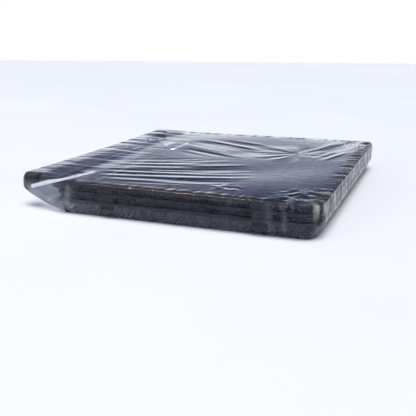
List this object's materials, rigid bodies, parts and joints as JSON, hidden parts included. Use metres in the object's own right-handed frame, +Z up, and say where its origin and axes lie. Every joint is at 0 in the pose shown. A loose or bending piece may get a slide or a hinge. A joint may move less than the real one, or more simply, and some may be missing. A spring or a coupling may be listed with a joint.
{
  "type": "letter tray",
  "caption": "Flat-packed desk letter tray: shallow nested mesh trays with an open front, two bent-rod side frames lying in the top tray, and a clear film wrap over the pack.",
  "frame": {"origin": "middle of the bottom tray's underside, on the surface that the pack rests on", "axes": "+X from the trays' open front to their back, +Y across the trays' width, +Z up"},
  "size_m": [0.3048, 0.3218, 0.0361],
  "materials": {
    "mesh_black": "black powder coat on pressed steel mesh, satin",
    "rim_black": "black powder coat on folded steel strip, satin",
    "rod_black": "black powder coat on bent steel rod, satin",
    "foot_black": "moulded black rubber, dull",
    "film_clear": "clear shrink film, glossy and wrinkled"
  },
  "bodies": {
    "bottom_tray": {"bottom_tray_mesh_pan": "mesh_black", "bottom_tray_rim": "rim_black", "bottom_tray_front_edging": "rim_black", "bottom_tray_hanger_tabs": "rim_black"},
    "middle_tray": {"middle_tray_mesh_pan": "mesh_black", "middle_tray_rim": "rim_black", "middle_tray_front_edging": "rim_black", "middle_tray_hanger_tabs": "rim_black"},
    "top_tray": {"top_tray_mesh_pan": "mesh_black", "top_tray_rim": "rim_black", "top_tray_front_edging": "rim_black", "top_tray_hanger_tabs": "rim_black"},
    "lower_frame": {"lower_frame_hoop": "rod_black", "lower_frame_rail_1": "rod_black", "lower_frame_rail_2": "rod_black", "lower_frame_rail_3": "rod_black", "lower_frame_front_foot": "foot_black", "lower_frame_rear_foot": "foot_black"},
    "upper_frame": {"upper_frame_hoop": "rod_black", "upper_frame_rail_1": "rod_black", "upper_frame_rail_2": "rod_black", "upper_frame_rail_3": "rod_black", "upper_frame_front_foot": "foot_black", "upper_frame_rear_foot": "foot_black"},
    "film_wrap": {"film_wrap": "film_clear"}
  },
  "joints": [
    {"name": "middle_tray_lift", "type": "slide", "parent": "bottom_tray", "child": "middle_tray", "axis": [0, 0, 1], "range_m": [0, 0.04]},
    {"name": "top_tray_lift", "type": "slide", "parent": "middle_tray", "child": "top_tray", "axis": [0, 0, 1], "range_m": [0, 0.04]},
    {"name": "lower_frame_lift", "type": "slide", "parent": "top_tray", "child": "lower_frame", "axis": [0, 0, 1], "range_m": [0, 0.04]},
    {"name": "upper_frame_lift", "type": "slide", "parent": "lower_frame", "child": "upper_frame", "axis": [0, 0, 1], "range_m": [0, 0.04]},
    {"name": "film_wrap_lift", "type": "slide", "parent": "upper_frame", "child": "film_wrap", "axis": [0, 0, 1], "range_m": [0, 0.06]}
  ]
}
